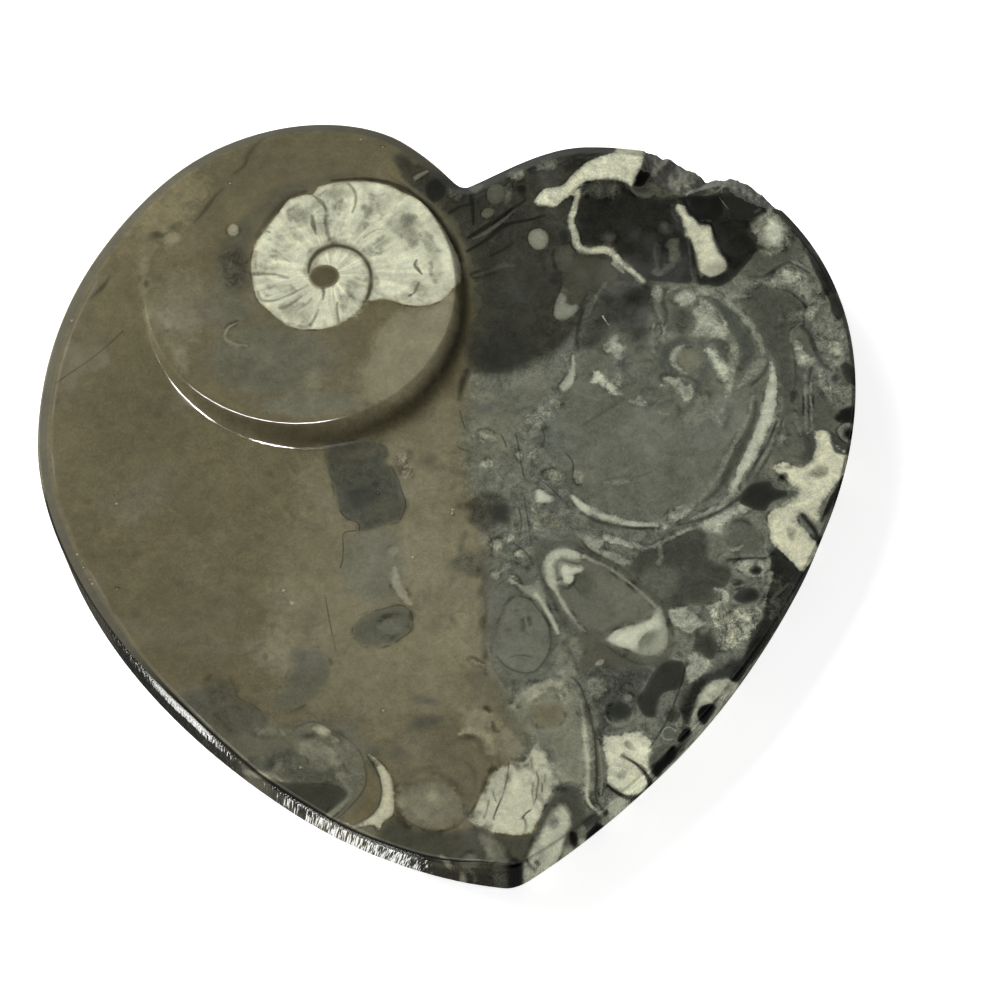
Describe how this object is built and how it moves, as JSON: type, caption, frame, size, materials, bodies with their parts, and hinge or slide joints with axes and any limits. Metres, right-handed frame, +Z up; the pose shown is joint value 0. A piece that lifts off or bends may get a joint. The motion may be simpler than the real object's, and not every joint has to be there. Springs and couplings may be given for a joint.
{
  "type": "heart-shaped polished fossil dish",
  "caption": "Heart-shaped dish ground from one slab of dark fossil limestone, with a polished ammonite in a raised round button.",
  "frame": {"origin": "centre of the bounding box, on the flat sawn underside", "axes": "+Z up out of the polished face, +Y towards the notch between the lobes, +X towards the right lobe"},
  "size_m": [0.114, 0.1146, 0.012],
  "materials": {
    "polished_fossil_limestone": "polished"
  },
  "bodies": {
    "root": {"fossil_heart_dish": "polished_fossil_limestone"}
  },
  "joints": []
}
